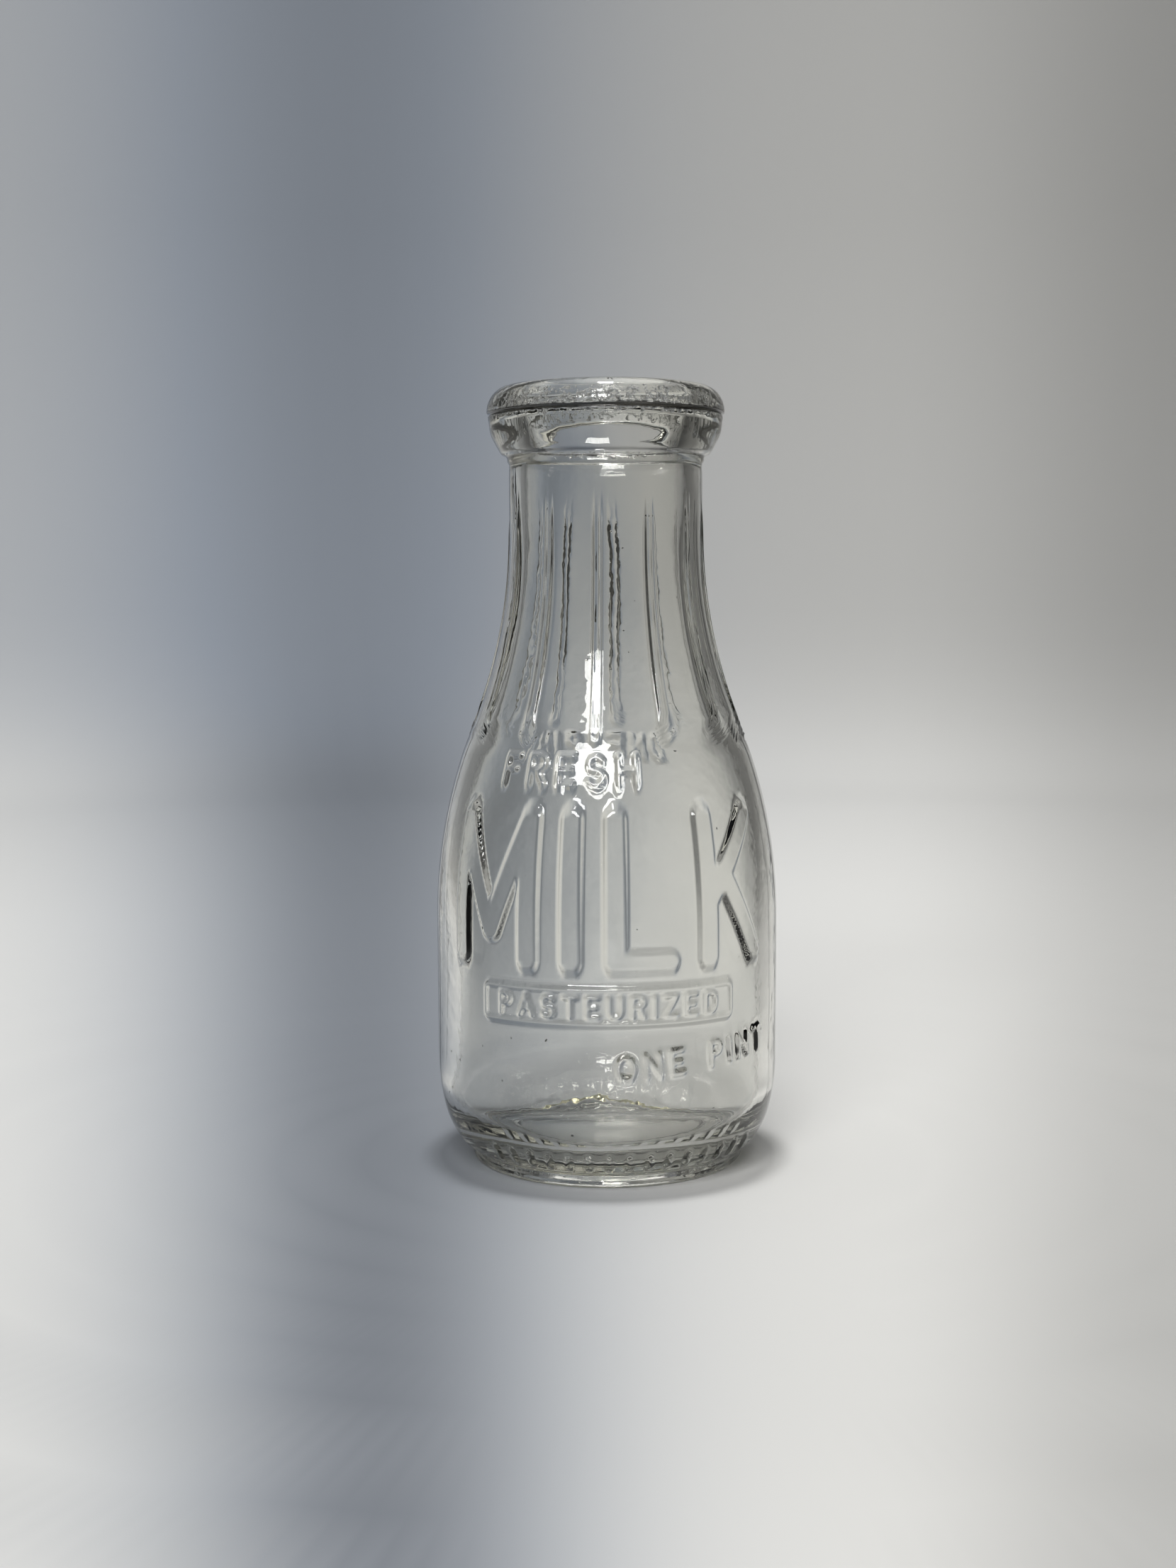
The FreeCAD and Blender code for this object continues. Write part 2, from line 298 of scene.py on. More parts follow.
def melted(points):
    """The outline walked in fine even steps, its corners rounded as hot glass rounds them.

    Each coordinate is averaged along the path under a Gaussian whose spread is MELT. Past the
    two ends on the axis the path goes on mirrored, so it meets the axis square.
    """
    along = path_length(points)
    even = np.arange(0.0, along[-1], FINE_STEP)
    walked = np.column_stack([np.interp(even, along, column) for column in points.T])
    reach = int(4 * MELT / FINE_STEP)
    weights = np.exp(-0.5 * (np.arange(-reach, reach + 1) * FINE_STEP / MELT) ** 2)
    weights /= weights.sum()
    mirror = np.array([-1.0, 1.0])
    padded = np.vstack((walked[reach:0:-1] * mirror, walked, walked[-2:-reach - 2:-1] * mirror))
    smooth = np.column_stack([np.convolve(column, weights, mode="valid") for column in padded.T])
    smooth[0, 0] = 0.0
    smooth[-1, 0] = 0.0
    return smooth


def spread(positions, spacing):
    """Places along a path that stand apart by the spacing wanted at each position."""
    count = np.concatenate(([0.0], np.cumsum(np.diff(positions) / spacing[:-1])))
    return np.interp(np.linspace(0.0, count[-1], int(round(count[-1])) + 1), count, positions)


def softened(values, reach):
    """A running average, so that spacing changes gently."""
    weights = np.ones(reach) / reach
    return np.convolve(np.pad(values, reach // 2, mode="edge"), weights, mode="same")[
        reach // 2:reach // 2 + len(values)]


def rows():
    """Radius, height and outward normal of each row of the mesh, and which rows are outside."""
    points = melted(np.vstack((outside_outline(), inside_outline())))
    along = path_length(points)
    lip_top = along[np.argmax(points[:, 1])]
    height = points[:, 1]
    is_out = along <= lip_top
    zones = [(is_out & (height < 2) & (points[:, 0] < BEARING_INNER_RADIUS - 3), RECESS_STEP),
             (is_out & (height < FOOT_HEIGHT + 0.5) & (points[:, 0] > FOOT_RADIUS - 2), FOOT_STEP)]
    zones += [(is_out & (height <= top), step) for top, step in OUTSIDE_STEPS]
    zones += [(height > THROAT_END - 4, THROAT_STEP), (height > HEEL_TOP, BORE_STEP)]
    spacing = np.select([mask for mask, _ in zones], [step for _, step in zones], FLOOR_STEP)
    places = spread(along, softened(spacing, int(1.0 / FINE_STEP)))
    slope = np.gradient(points, FINE_STEP, axis=0)
    slope /= np.hypot(*slope.T)[:, None]
    turned = np.column_stack((points, slope[:, 1], -slope[:, 0]))
    picked = np.column_stack([np.interp(places, along, column) for column in turned.T])
    return picked[:, 0], picked[:, 1], picked[:, 2:], places <= lip_top


def from_rib(azimuth):
    """Degrees from the middle of the nearest rib."""
    pitch = 360.0 / RIB_COUNT
    return (azimuth - RIB_FIRST_AZIMUTH + pitch / 2) % pitch - pitch / 2


def columns():
    """Azimuths of the mesh's columns, one set for the body and one for the neck.

    Both have COLUMNS of them. On the body they crowd on the front, where the words are, and
    at the seams, and on the neck at the edges of the ribs.
    """
    azimuth = np.linspace(-180.0, 180.0, 14401)
    body = np.where(np.abs(azimuth) < FRONT_HALF_ANGLE, FRONT_STEP, SIDE_STEP)
    body[np.abs(np.abs(azimuth) - SEAM_AZIMUTH) < 1.5] = SEAM_STEP
    away = np.abs(from_rib(azimuth)) / RIB_WIDTH_ANGLE
    neck = np.select([away < 0.3, away < 0.68], [RIB_MIDDLE_STEP, RIB_EDGE_STEP], PANEL_STEP)
    sets = []
    for step in (softened(body, 60), softened(neck, 15)):
        count = np.concatenate(([0.0], np.cumsum(1 / step[:-1])))
        sets.append(np.interp(np.arange(COLUMNS) * count[-1] / COLUMNS, count, azimuth))
    return sets


# ---------------------------------------------------------------- relief

def ramp(value, width):
    """0 below zero and 1 above the width, with a smooth cubic between."""
    share = np.clip(value / width, 0.0, 1.0)
    return share * share * (3 - 2 * share)


def lattice_noise(across, up, cells):
    """Smooth random heights from -1 to 1: a random lattice read between its points.

    across is a share of one turn and wraps round, up is any length, and cells gives the
    lattice points in one turn and per unit of up.
    """
    turns, per_up = cells
    table = random.uniform(-1.0, 1.0, (LATTICE_ROWS, turns))
    x = (across % 1.0) * turns
    y = up * per_up
    left = np.floor(x).astype(int)
    under = np.floor(y).astype(int)
    fx = ramp(x - left, 1.0)
    fy = ramp(y - under, 1.0)
    value = 0.0
    for step_x, weight_x in ((0, 1 - fx), (1, fx)):
        for step_y, weight_y in ((0, 1 - fy), (1, fy)):
            corner = table[(under + step_y) % LATTICE_ROWS, (left + step_x) % turns]
            value = value + corner * weight_x * weight_y
    return value


def on_lip(radius, height):
    """True on the lip's outside."""
    return (height > LIP_UNDERSIDE + 1.0) & (radius > CAP_SEAT_RADIUS + 1.5)


def ribs(azimuth, radius, height):
    """Ribs with steep edges, round at the bottom and sinking away at the top.

    Their tops are hollowed by half a wave from edge to edge, unevenly along their length.
    """
    half = np.radians(RIB_WIDTH_ANGLE / 2) * radius
    across = np.abs(np.radians(from_rib(azimuth))) * radius
    below = np.maximum(RIB_BOTTOM + half - height, 0.0)
    inside = half - np.hypot(across, below)
    share = np.minimum(np.abs(from_rib(azimuth)) / (RIB_WIDTH_ANGLE / 2), 1.0)
    hollow = (0.5 + 0.5 * np.cos(math.pi * share)) * ramp(inside, RIB_HOLLOW_BEVEL)
    hollow = RIB_HOLLOW * hollow * (1 + 0.3 * np.sin(1.7 * height) + 0.2 * np.sin(4.1 * height))
    raised = RIB_HEIGHT * ramp(inside + RIB_BEVEL / 2, RIB_BEVEL)
    return (raised - hollow) * ramp(RIB_TOP - height, RIB_FADE)


def rib_scars(azimuth, radius, height):
    """How strongly the edges of the two ribs at the back are scarred, from 0 to 1."""
    pitch = 360.0 / RIB_COUNT
    turned = azimuth - RIB_FIRST_AZIMUTH + pitch / 2
    number = np.floor(turned / pitch).astype(int) % RIB_COUNT
    half = np.radians(RIB_WIDTH_ANGLE / 2) * radius
    across = np.abs(np.radians(from_rib(azimuth))) * radius
    edge = np.exp(-((across - 0.95 * half) / SCAR_WIDTH) ** 2)
    stretch = ramp(height - SCAR_BOTTOM, 10.0) * ramp(SCAR_TOP - height, 6.0)
    return np.isin(number, SCARRED_RIBS) * edge * stretch


def neck_panels(azimuth, radius, height):
    """How far the neck is drawn in between its ribs: half a sine wave from rib to rib.

    It is nothing at each rib and PANEL_DEPTH of the radius halfway between two, which leaves
    the wall there nearly flat across. Each panel starts at the ribs' feet and fades away slowly
    towards their tops. The inside follows the outside, so the wall keeps its thickness.
    """
    wave = np.abs(np.sin(np.radians((azimuth - RIB_FIRST_AZIMUTH) * RIB_COUNT / 2)))
    along = ramp(height - PANEL_BOTTOM, PANEL_RISE) * ramp(PANEL_TOP - height, PANEL_FADE)
    return PANEL_DEPTH * radius * wave * along


def bow(centre, size, start, end, count=14):
    """Points along part of an ellipse."""
    turn = np.radians(np.linspace(start, end, count))
    return [(centre[0] + size[0] * math.cos(t), centre[1] + size[1] * math.sin(t)) for t in turn]


P_BOWL = [(0, 1), (0.5, 1)] + bow((0.5, 0.75), (0.5, 0.25), 90, -90) + [(0, 0.5)]
S_CURVE = (bow((0.5, 0.75), (0.48, 0.25), 25, 270)
           + bow((0.5, 0.25), (0.5, 0.25), 90, -155))

# Plain capitals as strokes in a unit square, each with its width as a share of its height
CAPITALS = {
    "A": (0.72, [[(0, 0), (0.5, 1), (1, 0)], [(0.2, 0.36), (0.8, 0.36)]]),
    "D": (0.62, [[(0, 0), (0, 1), (0.4, 1)] + bow((0.4, 0.5), (0.6, 0.5), 90, -90) + [(0, 0)]]),
    "E": (0.52, [[(1, 0), (0, 0), (0, 1), (1, 1)], [(0, 0.5), (0.8, 0.5)]]),
    "F": (0.50, [[(0, 0), (0, 1), (1, 1)], [(0, 0.52), (0.8, 0.52)]]),
    "H": (0.62, [[(0, 0), (0, 1)], [(1, 0), (1, 1)], [(0, 0.5), (1, 0.5)]]),
    "I": (0.0, [[(0, 0), (0, 1)]]),
    "K": (0.46, [[(0, 0), (0, 1)], [(0, 0.4), (1, 1)], [(0.3, 0.6), (1, 0)]]),
    "L": (0.38, [[(0, 1), (0, 0), (1, 0)]]),
    "M": (0.62, [[(0, 0), (0, 1), (0.5, 0.2), (1, 1), (1, 0)]]),
    "N": (0.62, [[(0, 0), (0, 1), (1, 0), (1, 1)]]),
    "O": (0.70, [bow((0.5, 0.5), (0.5, 0.5), 0, 360, 28)]),
    "P": (0.54, [[(0, 0), (0, 1)], P_BOWL]),
    "R": (0.56, [[(0, 0), (0, 1)], P_BOWL, [(0.5, 0.5), (1, 0)]]),
    "S": (0.54, [S_CURVE]),
    "T": (0.60, [[(0.5, 0), (0.5, 1)], [(0, 1), (1, 1)]]),
    "U": (0.60, [[(0, 1), (0, 0.4)] + bow((0.5, 0.4), (0.5, 0.4), 180, 360) + [(1, 1)]]),
    "Z": (0.58, [[(0, 1), (1, 1), (0, 0), (1, 0)]]),
    " ": (0.35, []),
}


def distance_to_path(across, up, path):
    """How far each point of a grid lies from the nearest of a path's straight runs."""
    nearest = np.full(np.broadcast(across, up).shape, 1e3)
    for (x0, y0), (x1, y1) in zip(path[:-1], path[1:]):
        dx, dy = x1 - x0, y1 - y0
        span = max(dx * dx + dy * dy, 1e-9)
        share = np.clip(((across - x0) * dx + (up - y0) * dy) / span, 0.0, 1.0)
        nearest = np.minimum(nearest, np.hypot(across - x0 - share * dx, up - y0 - share * dy))
    return nearest


def word_strokes(text, size, stroke, gap):
    """Every stroke of a word in millimetres about the word's own middle."""
    widths = [CAPITALS[letter][0] * size + stroke for letter in text]
    left = -(sum(widths) + gap * (len(text) - 1)) / 2
    strokes = []
    for letter, width in zip(text, widths):
        share, paths = CAPITALS[letter]
        for path in paths:
            strokes.append([(left + stroke / 2 + x * share * size, (y - 0.5) * size)
                            for x, y in path])
        left += width + gap
    return strokes


def word(azimuth, height, text, size, stroke, gap, middle, at=0.0, radius=BODY_RADIUS, rise=0.0,
         proud=RELIEF_HEIGHT, bevel=RELIEF_BEVEL):
    """Raised letters: flat tops and sloping edges, by distance from each letter's strokes.

    The letters lie on the wall unrolled at one radius, about an azimuth and a height, and the
    line of writing climbs by rise degrees.
    """
    away = (azimuth - at + 180.0) % 360.0 - 180.0
    across = np.radians(away) * radius
    up = height - middle
    tilt = math.radians(rise)
    along = across * math.cos(tilt) + up * math.sin(tilt)
    over = up * math.cos(tilt) - across * math.sin(tilt)
    nearest = np.full(along.shape, 1e3)
    for path in word_strokes(text, size, stroke, gap):
        nearest = np.minimum(nearest, distance_to_path(along, over, path))
    return proud * ramp(stroke / 2 - nearest + bevel / 2, bevel)


def box_distance(across, up, half_width, half_height, corner):
    """Signed distance to a rectangle with round corners, negative inside."""
    x = np.abs(across) - half_width + corner
    y = np.abs(up) - half_height + corner
    outside = np.hypot(np.maximum(x, 0.0), np.maximum(y, 0.0))
    return outside + np.minimum(np.maximum(x, y), 0.0) - corner


def band(azimuth, height):
    """A plain raised band with a rim round it, sunk a little inside the rim."""
    across = np.radians(azimuth) * BODY_RADIUS
    edge = box_distance(across, height - BAND_MIDDLE, BAND_LENGTH / 2, BAND_HEIGHT / 2,
                        BAND_CORNER_RADIUS)
    raised = RELIEF_HEIGHT * ramp(-edge + 0.3, BAND_BEVEL)
    sunk = BAND_SINK * ramp(-edge - BAND_RIM, BAND_SINK_BEVEL)
    return raised - sunk


def heel_bars(azimuth, radius, height):
    """Short upright bars round the heel, on the front and on the back."""
    away = np.radians((azimuth + HEEL_BAR_PITCH / 2) % HEEL_BAR_PITCH - HEEL_BAR_PITCH / 2) * radius
    middle = (HEEL_BARS_FROM + HEEL_BARS_TO) / 2
    reach = (HEEL_BARS_TO - HEEL_BARS_FROM) / 2 - HEEL_BAR_HALF_WIDTH
    along = np.maximum(np.abs(height - middle) - reach, 0.0)
    inside = HEEL_BAR_HALF_WIDTH - np.hypot(away, along)
    shown = 0.0
    for start, end in HEEL_BAR_SPANS:
        turned = (azimuth - start) % 360.0
        shown = shown + (turned < end - start)
    return HEEL_BAR_HEIGHT * ramp(inside + HEEL_BAR_BEVEL / 2, HEEL_BAR_BEVEL) * shown


def above_parting(azimuth, height):
    """Height above the parting line, which wanders a little round the lip."""
    wander = 0.10 * np.sin(np.radians(azimuth * 2 + 40)) + 0.07 * np.sin(np.radians(azimuth * 7))
    return height - PARTING_HEIGHT - wander


def lip_parting(azimuth, height, is_lip):
    """The step round the lip where two parts of the mould met, a Gaussian groove under it, and
    the wrinkled skin on both sides."""
    above = above_parting(azimuth, height)
    step = PARTING_STEP * ramp(above + 0.15, 0.3) * ramp(4.0 - above, 3.4)
    groove = -PARTING_GROOVE * np.exp(-((above + 0.12) / 0.24) ** 2)
    skin_below = ramp(above + 2.0, 1.0) * ramp(-above, 0.5)
    skin_above = 0.5 * ramp(above - 0.2, 0.5) * ramp(3 - above, 2)
    wrinkle = lattice_noise(azimuth / 360.0 + 0 * height, height + 0 * azimuth, WRINKLE_CELLS)
    return is_lip * (step + groove + WRINKLE * (skin_below + skin_above) * wrinkle)


def mould_seams(azimuth, height):
    """The two upright seams of the body mould, at the sides, each a Gaussian across."""
    from_seam = np.radians(np.abs(np.abs(azimuth) - SEAM_AZIMUTH)) * BODY_RADIUS
    stretch = ramp(height - 5.0, 3.0) * ramp(NECK_RING_FOOT - height, 3.0)
    return SEAM_HEIGHT * np.exp(-(from_seam / SEAM_WIDTH) ** 2) * stretch


def base_rings(azimuth, radius, is_base):
    """Hollows under the foot: three rings in the bearing band, each shaped as half a wave, with
    a stipple between them."""
    bearing = ramp(radius - BEARING_INNER_RADIUS + 0.5, 1.0) * ramp(FOOT_RADIUS - 1.0 - radius, 1.0)
    ring = 0.5 - 0.5 * np.cos(2 * math.pi * (radius - BEARING_INNER_RADIUS) / BASE_RING_PITCH)
    stipple = lattice_noise(azimuth / 360.0 + 0 * radius, radius / 1.4 + 0 * azimuth, STIPPLE_CELLS)
    return is_base * bearing * (BASE_RING_DEPTH * ring + STIPPLE_DEPTH * (1 + stipple))


def foot_wear(radius, height):
    """How scuffed the ring the bottle stands on is, from 0 to 1, worst along its two edges."""
    bearing = ramp(radius - BEARING_INNER_RADIUS, 0.6) * ramp(FOOT_RADIUS - 1.8 - radius, 0.6)
    edges = (np.exp(-((radius - BEARING_INNER_RADIUS) / 0.5) ** 2)
             + np.exp(-((radius - FOOT_RADIUS + 2.2) / 0.5) ** 2))
    return (height < 1.0) * np.minimum(0.30 * bearing + 0.70 * edges, 1.0)


def foot_steps(height):
    """Two fine hollow steps round the foot ring's side, each half a wave deep."""
    stretch = ramp(height - 1.0, 0.5) * ramp(FOOT_HEIGHT - 0.3 - height, 0.5)
    wave = 0.5 - 0.5 * np.cos(2 * math.pi * (height - 1.2) / FOOT_STEP_PITCH)
    return -FOOT_STEP_DEPTH * stretch * wave


def waviness(azimuth, height, size, waves):
    """Slow swelling of blown glass: a few sine waves round and up the wall, added."""
    total = 0.0
    for _ in range(waves):
        around = random.integers(1, 7)
        climb = random.uniform(-0.11, 0.11)
        phase = random.uniform(0.0, 2 * math.pi)
        total = total + np.sin(around * np.radians(azimuth) + climb * height + phase)
    return size * total / math.sqrt(waves)


def outside_relief(azimuth, radius, height, normal_out):
    """Everything that stands proud of the turned form, in millimetres along its normal."""
    is_wall = (normal_out > 0.5) & (height > 1.0)
    is_base = (normal_out < 0.4) & (height < 1.0)
    is_lip = on_lip(radius, height)
    relief = ribs(azimuth, radius, height) - neck_panels(azimuth, radius, height)
    relief = relief + word(azimuth, height, *LARGE_WORD)
    relief = relief + band(azimuth, height)
    for *line, place in SMALL_WORDS:
        relief = relief + word(azimuth, height, *line, **place, proud=SMALL_RELIEF_HEIGHT,
                               bevel=SMALL_RELIEF_BEVEL)
    relief = relief + heel_bars(azimuth, radius, height)
    relief = relief + mould_seams(azimuth, height) + foot_steps(height)
    relief = relief + lip_parting(azimuth, height, is_lip)
    swell = np.exp(-((height - LIP_SWELL_HEIGHT) / LIP_SWELL_REACH) ** 2)
    relief = relief + LIP_SWELL * is_lip * swell
    relief = relief + waviness(azimuth, height, *OUTSIDE_WAVES) * ramp(height - 6.0, 10.0)
    return relief * is_wall - base_rings(azimuth, radius, is_base)


def inside_relief(azimuth, radius, height, normal_out):
    """How far the inside moves along its normal: slow waves on the body, panels on the neck
    that follow the outside's, and a lumpy throat."""
    facing = np.abs(normal_out)
    body = ramp(CAP_SEAT - 9.0 - height, 12.0) * ramp(facing, 0.6)
    throat = ramp(height - THROAT_END - 0.5, 2.0) * ramp(facing - 0.5, 0.3)
    relief = waviness(azimuth, height, *INSIDE_WAVES) * body
    relief = relief + neck_panels(azimuth, radius, height)
    lumps = lattice_noise(azimuth / 360.0, height + 0 * azimuth, THROAT_CELLS)
    return relief + THROAT_LUMPS * throat * lumps


def mould_marks(azimuth, radius, height):
    """How rough and dirty the mould left each place outside, 0 where it is clean: a line at
    the parting, a paler band on both sides of it, the scarred ribs and the worn foot."""
    above = above_parting(azimuth, height)
    line = np.exp(-((above + 0.1) / 0.42) ** 2)
    around = 0.47 * ramp(above + 3.0, 1.5) * ramp(6.0 - above, 2)
    lip = np.minimum(line + around, 1.0) * on_lip(radius, height)
    return np.maximum(lip, rib_scars(azimuth, radius, height)) + foot_wear(radius, height)


# ---------------------------------------------------------------- mesh

def fan(pole, ring, flip):
    """Triangles from a pole to a ring of points."""
    after = np.roll(ring, -1)
    middle = np.full(ring.shape, pole)
    return np.column_stack((middle, ring, after) if flip else (middle, after, ring))


def quads(lower, upper):
    """Quads between two rings, or rows of rings, with the same number of points."""
    return np.stack((lower, np.roll(lower, -1, axis=-1), np.roll(upper, -1, axis=-1), upper),
                    axis=-1).reshape(-1, 4)


def thinning(fine, coarse):
    """Triangles from a fine ring to one with a point for every INNER_EVERY of its own."""
    following = np.roll(fine, -INNER_EVERY)[::INNER_EVERY]
    groups = np.column_stack((fine.reshape(-1, INNER_EVERY), following))
    after = np.roll(coarse, -1)
    half = INNER_EVERY // 2
    faces = [np.column_stack((groups[:, k], groups[:, k + 1], coarse if k < half else after))
             for k in range(INNER_EVERY)]
    faces.append(np.column_stack((groups[:, half], after, coarse)))
    return np.vstack(faces)


def bottle_mesh():
    """One closed wall of glass.

    A point at azimuth a on a row of radius r and height h lies at (r sin a, -r cos a, h). The
    outside rows are moved along their normal by the relief, the inside rows by the wall's
    unevenness. The columns pass from the body's set to the neck's over a short stretch of the
    shoulder. Inside the cap seat they thin out, because the inside is plain.
    """
    radius, height, normal, is_out = rows()
    seat_row = int(np.argmax(~is_out & (height < CAP_SEAT + 3.2)))
    r = radius[:, None]
    h = height[:, None]
    on_body, on_neck = columns()
    a = on_body + (on_neck - on_body) * ramp(h - NECK_COLUMNS_FROM, NECK_COLUMNS_BLEND)
    outside = (a[:seat_row], r[:seat_row], h[:seat_row])
    inside = (a[seat_row:], r[seat_row:], h[seat_row:])
    move = np.vstack((outside_relief(*outside, normal[:seat_row, :1]),
                      inside_relief(*inside, normal[seat_row:, :1])))
    placed_radius = r + move * normal[:, :1]
    placed_height = h + move * normal[:, 1:]
    turn = np.radians(a)
    points = np.stack((placed_radius * np.sin(turn), -placed_radius * np.cos(turn), placed_height),
                      axis=-1)
    marks = mould_marks(*outside)

    fine = points[1:seat_row]
    coarse = points[seat_row:-1, ::INNER_EVERY]
    fine_ids = 1 + np.arange(fine.shape[0] * COLUMNS).reshape(-1, COLUMNS)
    first_coarse = fine_ids[-1, -1] + 1
    coarse_ids = first_coarse + np.arange(coarse.shape[0] * coarse.shape[1]).reshape(coarse.shape[:2])
    last = coarse_ids[-1, -1] + 1
    vertices = np.vstack(([[0, 0, height[0]]], fine.reshape(-1, 3), coarse.reshape(-1, 3),
                          [[0, 0, height[-1]]])) * MM
    four = np.vstack((quads(fine_ids[:-1], fine_ids[1:]), quads(coarse_ids[:-1], coarse_ids[1:])))
    three = np.vstack((fan(0, fine_ids[0], False), thinning(fine_ids[-1], coarse_ids[0]),
                       fan(last, coarse_ids[-1], True)))
    marked = np.zeros(len(vertices))
    marked[1:first_coarse] = marks[1:].ravel()
    return vertices, four, three, marked


def add_attribute(piece, name, values):
    """Stores one number per vertex on a piece for its material to read."""
    attribute = piece.data.attributes.new(name, "FLOAT", "POINT")
    attribute.data.foreach_set("value", values.astype(np.float32))


def mesh_object(name, vertices, four, three):
    """A smooth mesh object at the origin from points, four-sided faces and triangles."""
    mesh = bpy.data.meshes.new(name)
    mesh.vertices.add(len(vertices))
    mesh.vertices.foreach_set("co", np.ascontiguousarray(vertices, dtype=np.float32).ravel())
    corners = np.concatenate((four.ravel(), three.ravel())).astype(np.int32)
    sizes = np.concatenate((np.full(len(four), 4), np.full(len(three), 3)))
    starts = np.concatenate(([0], np.cumsum(sizes)[:-1])).astype(np.int32)
    mesh.loops.add(len(corners))
    mesh.loops.foreach_set("vertex_index", corners)
    mesh.polygons.add(len(sizes))
    mesh.polygons.foreach_set("loop_start", starts)
    mesh.update(calc_edges=True)
    mesh.polygons.foreach_set("use_smooth", np.ones(len(sizes), dtype=bool))
    mesh.validate()
    piece = bpy.data.objects.new(name, mesh)
    bpy.context.scene.collection.objects.link(piece)
    return piece


# ---------------------------------------------------------------- materials

def linear(hex_colour):
    """An sRGB hex colour as linear red, green, blue and full alpha."""
    parts = [int(hex_colour[i:i + 2], 16) / 255 for i in (1, 3, 5)]
    return [c / 12.92 if c <= 0.04045 else ((c + 0.055) / 1.055) ** 2.4 for c in parts] + [1.0]


def node(tree, kind, settings=(), links=()):
    """Adds a node, sets its properties and plain inputs, and links its other inputs."""
    new = tree.nodes.new(kind)
    for name, value in dict(settings).items():
        if isinstance(name, str) and hasattr(new, name):
            setattr(new, name, value)
        else:
            new.inputs[name].default_value = value
    for name, source in dict(links).items():
        tree.links.new(source, new.inputs[name])
    return new


def empty_material(name):
    """A new material and its node tree, with no nodes in it."""
    material = bpy.data.materials.new(name)
    material.use_nodes = True
    material.node_tree.nodes.clear()
    return material, material.node_tree


def soda_lime_glass():
    """Soda-lime bottle glass, pressed and blown, then fire-polished.

    It is clear with a faint yellow-grey from traces of iron, which shows where the light goes a
    long way through it. Its skin has a slight orange peel. The attribute mould_mark says where
    the glass is rough and dirty: round the lip, on the ribs at the back and on the foot ring.
    Specks of mould scale, about half a millimetre across, sit in the skin. Seen edge on, the
    wall's colour is darkened towards black: painted shade, which draws a dark outline round the
    silhouette and the edges of the relief.
    """
    material, tree = empty_material("soda_lime_glass_blown")
    place = node(tree, "ShaderNodeTexCoord").outputs["Object"]
    peel = node(tree, "ShaderNodeTexNoise", {"Scale": 1 / 0.005, "Detail": 2.0, "Roughness": 0.5},
                {"Vector": place})
    grit = node(tree, "ShaderNodeTexNoise", {"Scale": 1 / 0.0013, "Detail": 3.0, "Roughness": 0.7},
                {"Vector": place})
    mark = node(tree, "ShaderNodeAttribute", {"attribute_name": "mould_mark"})
    broken = node(tree, "ShaderNodeMath", {"operation": "ADD"},
                  {0: mark.outputs["Fac"], 1: grit.outputs["Fac"]})
    scale = node(tree, "ShaderNodeMapRange", {"From Min": 0.98, "From Max": 1.20},
                 {"Value": broken.outputs["Value"]})
    seeds = node(tree, "ShaderNodeTexVoronoi", {"Scale": 1 / 0.009, "Randomness": 1.0},
                 {"Vector": place})
    speck = node(tree, "ShaderNodeMapRange",
                 {"From Min": 0.020, "From Max": 0.036, "To Min": 1.0, "To Max": 0.0},
                 {"Value": seeds.outputs["Distance"]})
    dirt = node(tree, "ShaderNodeMath", {"operation": "MAXIMUM"},
                {0: scale.outputs["Result"], 1: speck.outputs["Result"]})
    # Painted shade: where the wall is seen edge on, its colour goes towards the same dark colour as
    # the mould's dirt, drawing a dark outline
    grazing = node(tree, "ShaderNodeLayerWeight", {"Blend": 0.5})
    edge = node(tree, "ShaderNodeMapRange", {"From Min": 0.76, "From Max": 1.0, "To Max": 0.85},
                {"Value": grazing.outputs["Facing"]})
    dirt_and_edge_shade = node(tree, "ShaderNodeMath", {"operation": "MAXIMUM"},
                    {0: dirt.outputs["Value"], 1: edge.outputs["Result"]})
    colour = node(tree, "ShaderNodeMix", {
        "data_type": "RGBA", "A": linear("#fafaf8"), "B": linear("#1e1d1a")},
        {0: dirt_and_edge_shade.outputs["Value"]})
    skin = node(tree, "ShaderNodeBump", {"Strength": 0.12, "Distance": 0.0004},
                {"Height": peel.outputs["Fac"]})
    rough = node(tree, "ShaderNodeBump", {"Strength": 1.0, "Distance": 0.0003},
                 {"Height": dirt.outputs["Value"], "Normal": skin.outputs["Normal"]})
    surface = node(tree, "ShaderNodeBsdfPrincipled", {
        "Roughness": 0.01, "IOR": 1.52, "Transmission Weight": 1.0},
        {"Normal": rough.outputs["Normal"]})
    tree.links.new(colour.outputs[2], surface.inputs["Base Color"])
    inside = node(tree, "ShaderNodeVolumeAbsorption", {"Color": linear("#ebeae0"), "Density": 28.0})
    node(tree, "ShaderNodeOutputMaterial", (), {"Surface": surface.outputs["BSDF"],
                                                "Volume": inside.outputs["Volume"]})
    return material


def sweep_paper():
    """Matt pale paper of a studio sweep. The sheet carries its colour, paper and the uneven
    soft light that falls on it together, as its own attribute."""
    material, tree = empty_material("pale_sweep_paper")
    # The attribute paper holds the sheet's colour with painted light and shade in it
    colour = node(tree, "ShaderNodeAttribute", {"attribute_name": "paper"})
    surface = node(tree, "ShaderNodeBsdfPrincipled", {"Roughness": 0.7, "IOR": 1.2},
                   {"Base Color": colour.outputs["Color"]})
    node(tree, "ShaderNodeOutputMaterial", (), {"Surface": surface.outputs["BSDF"]})
    return material


# ---------------------------------------------------------------- studio

SWEEP_FLOOR_RADIUS = 900.0
SWEEP_BEND = 500.0
SWEEP_WALL_TOP = 1500.0
SWEEP_TURN_STEP = 1.5
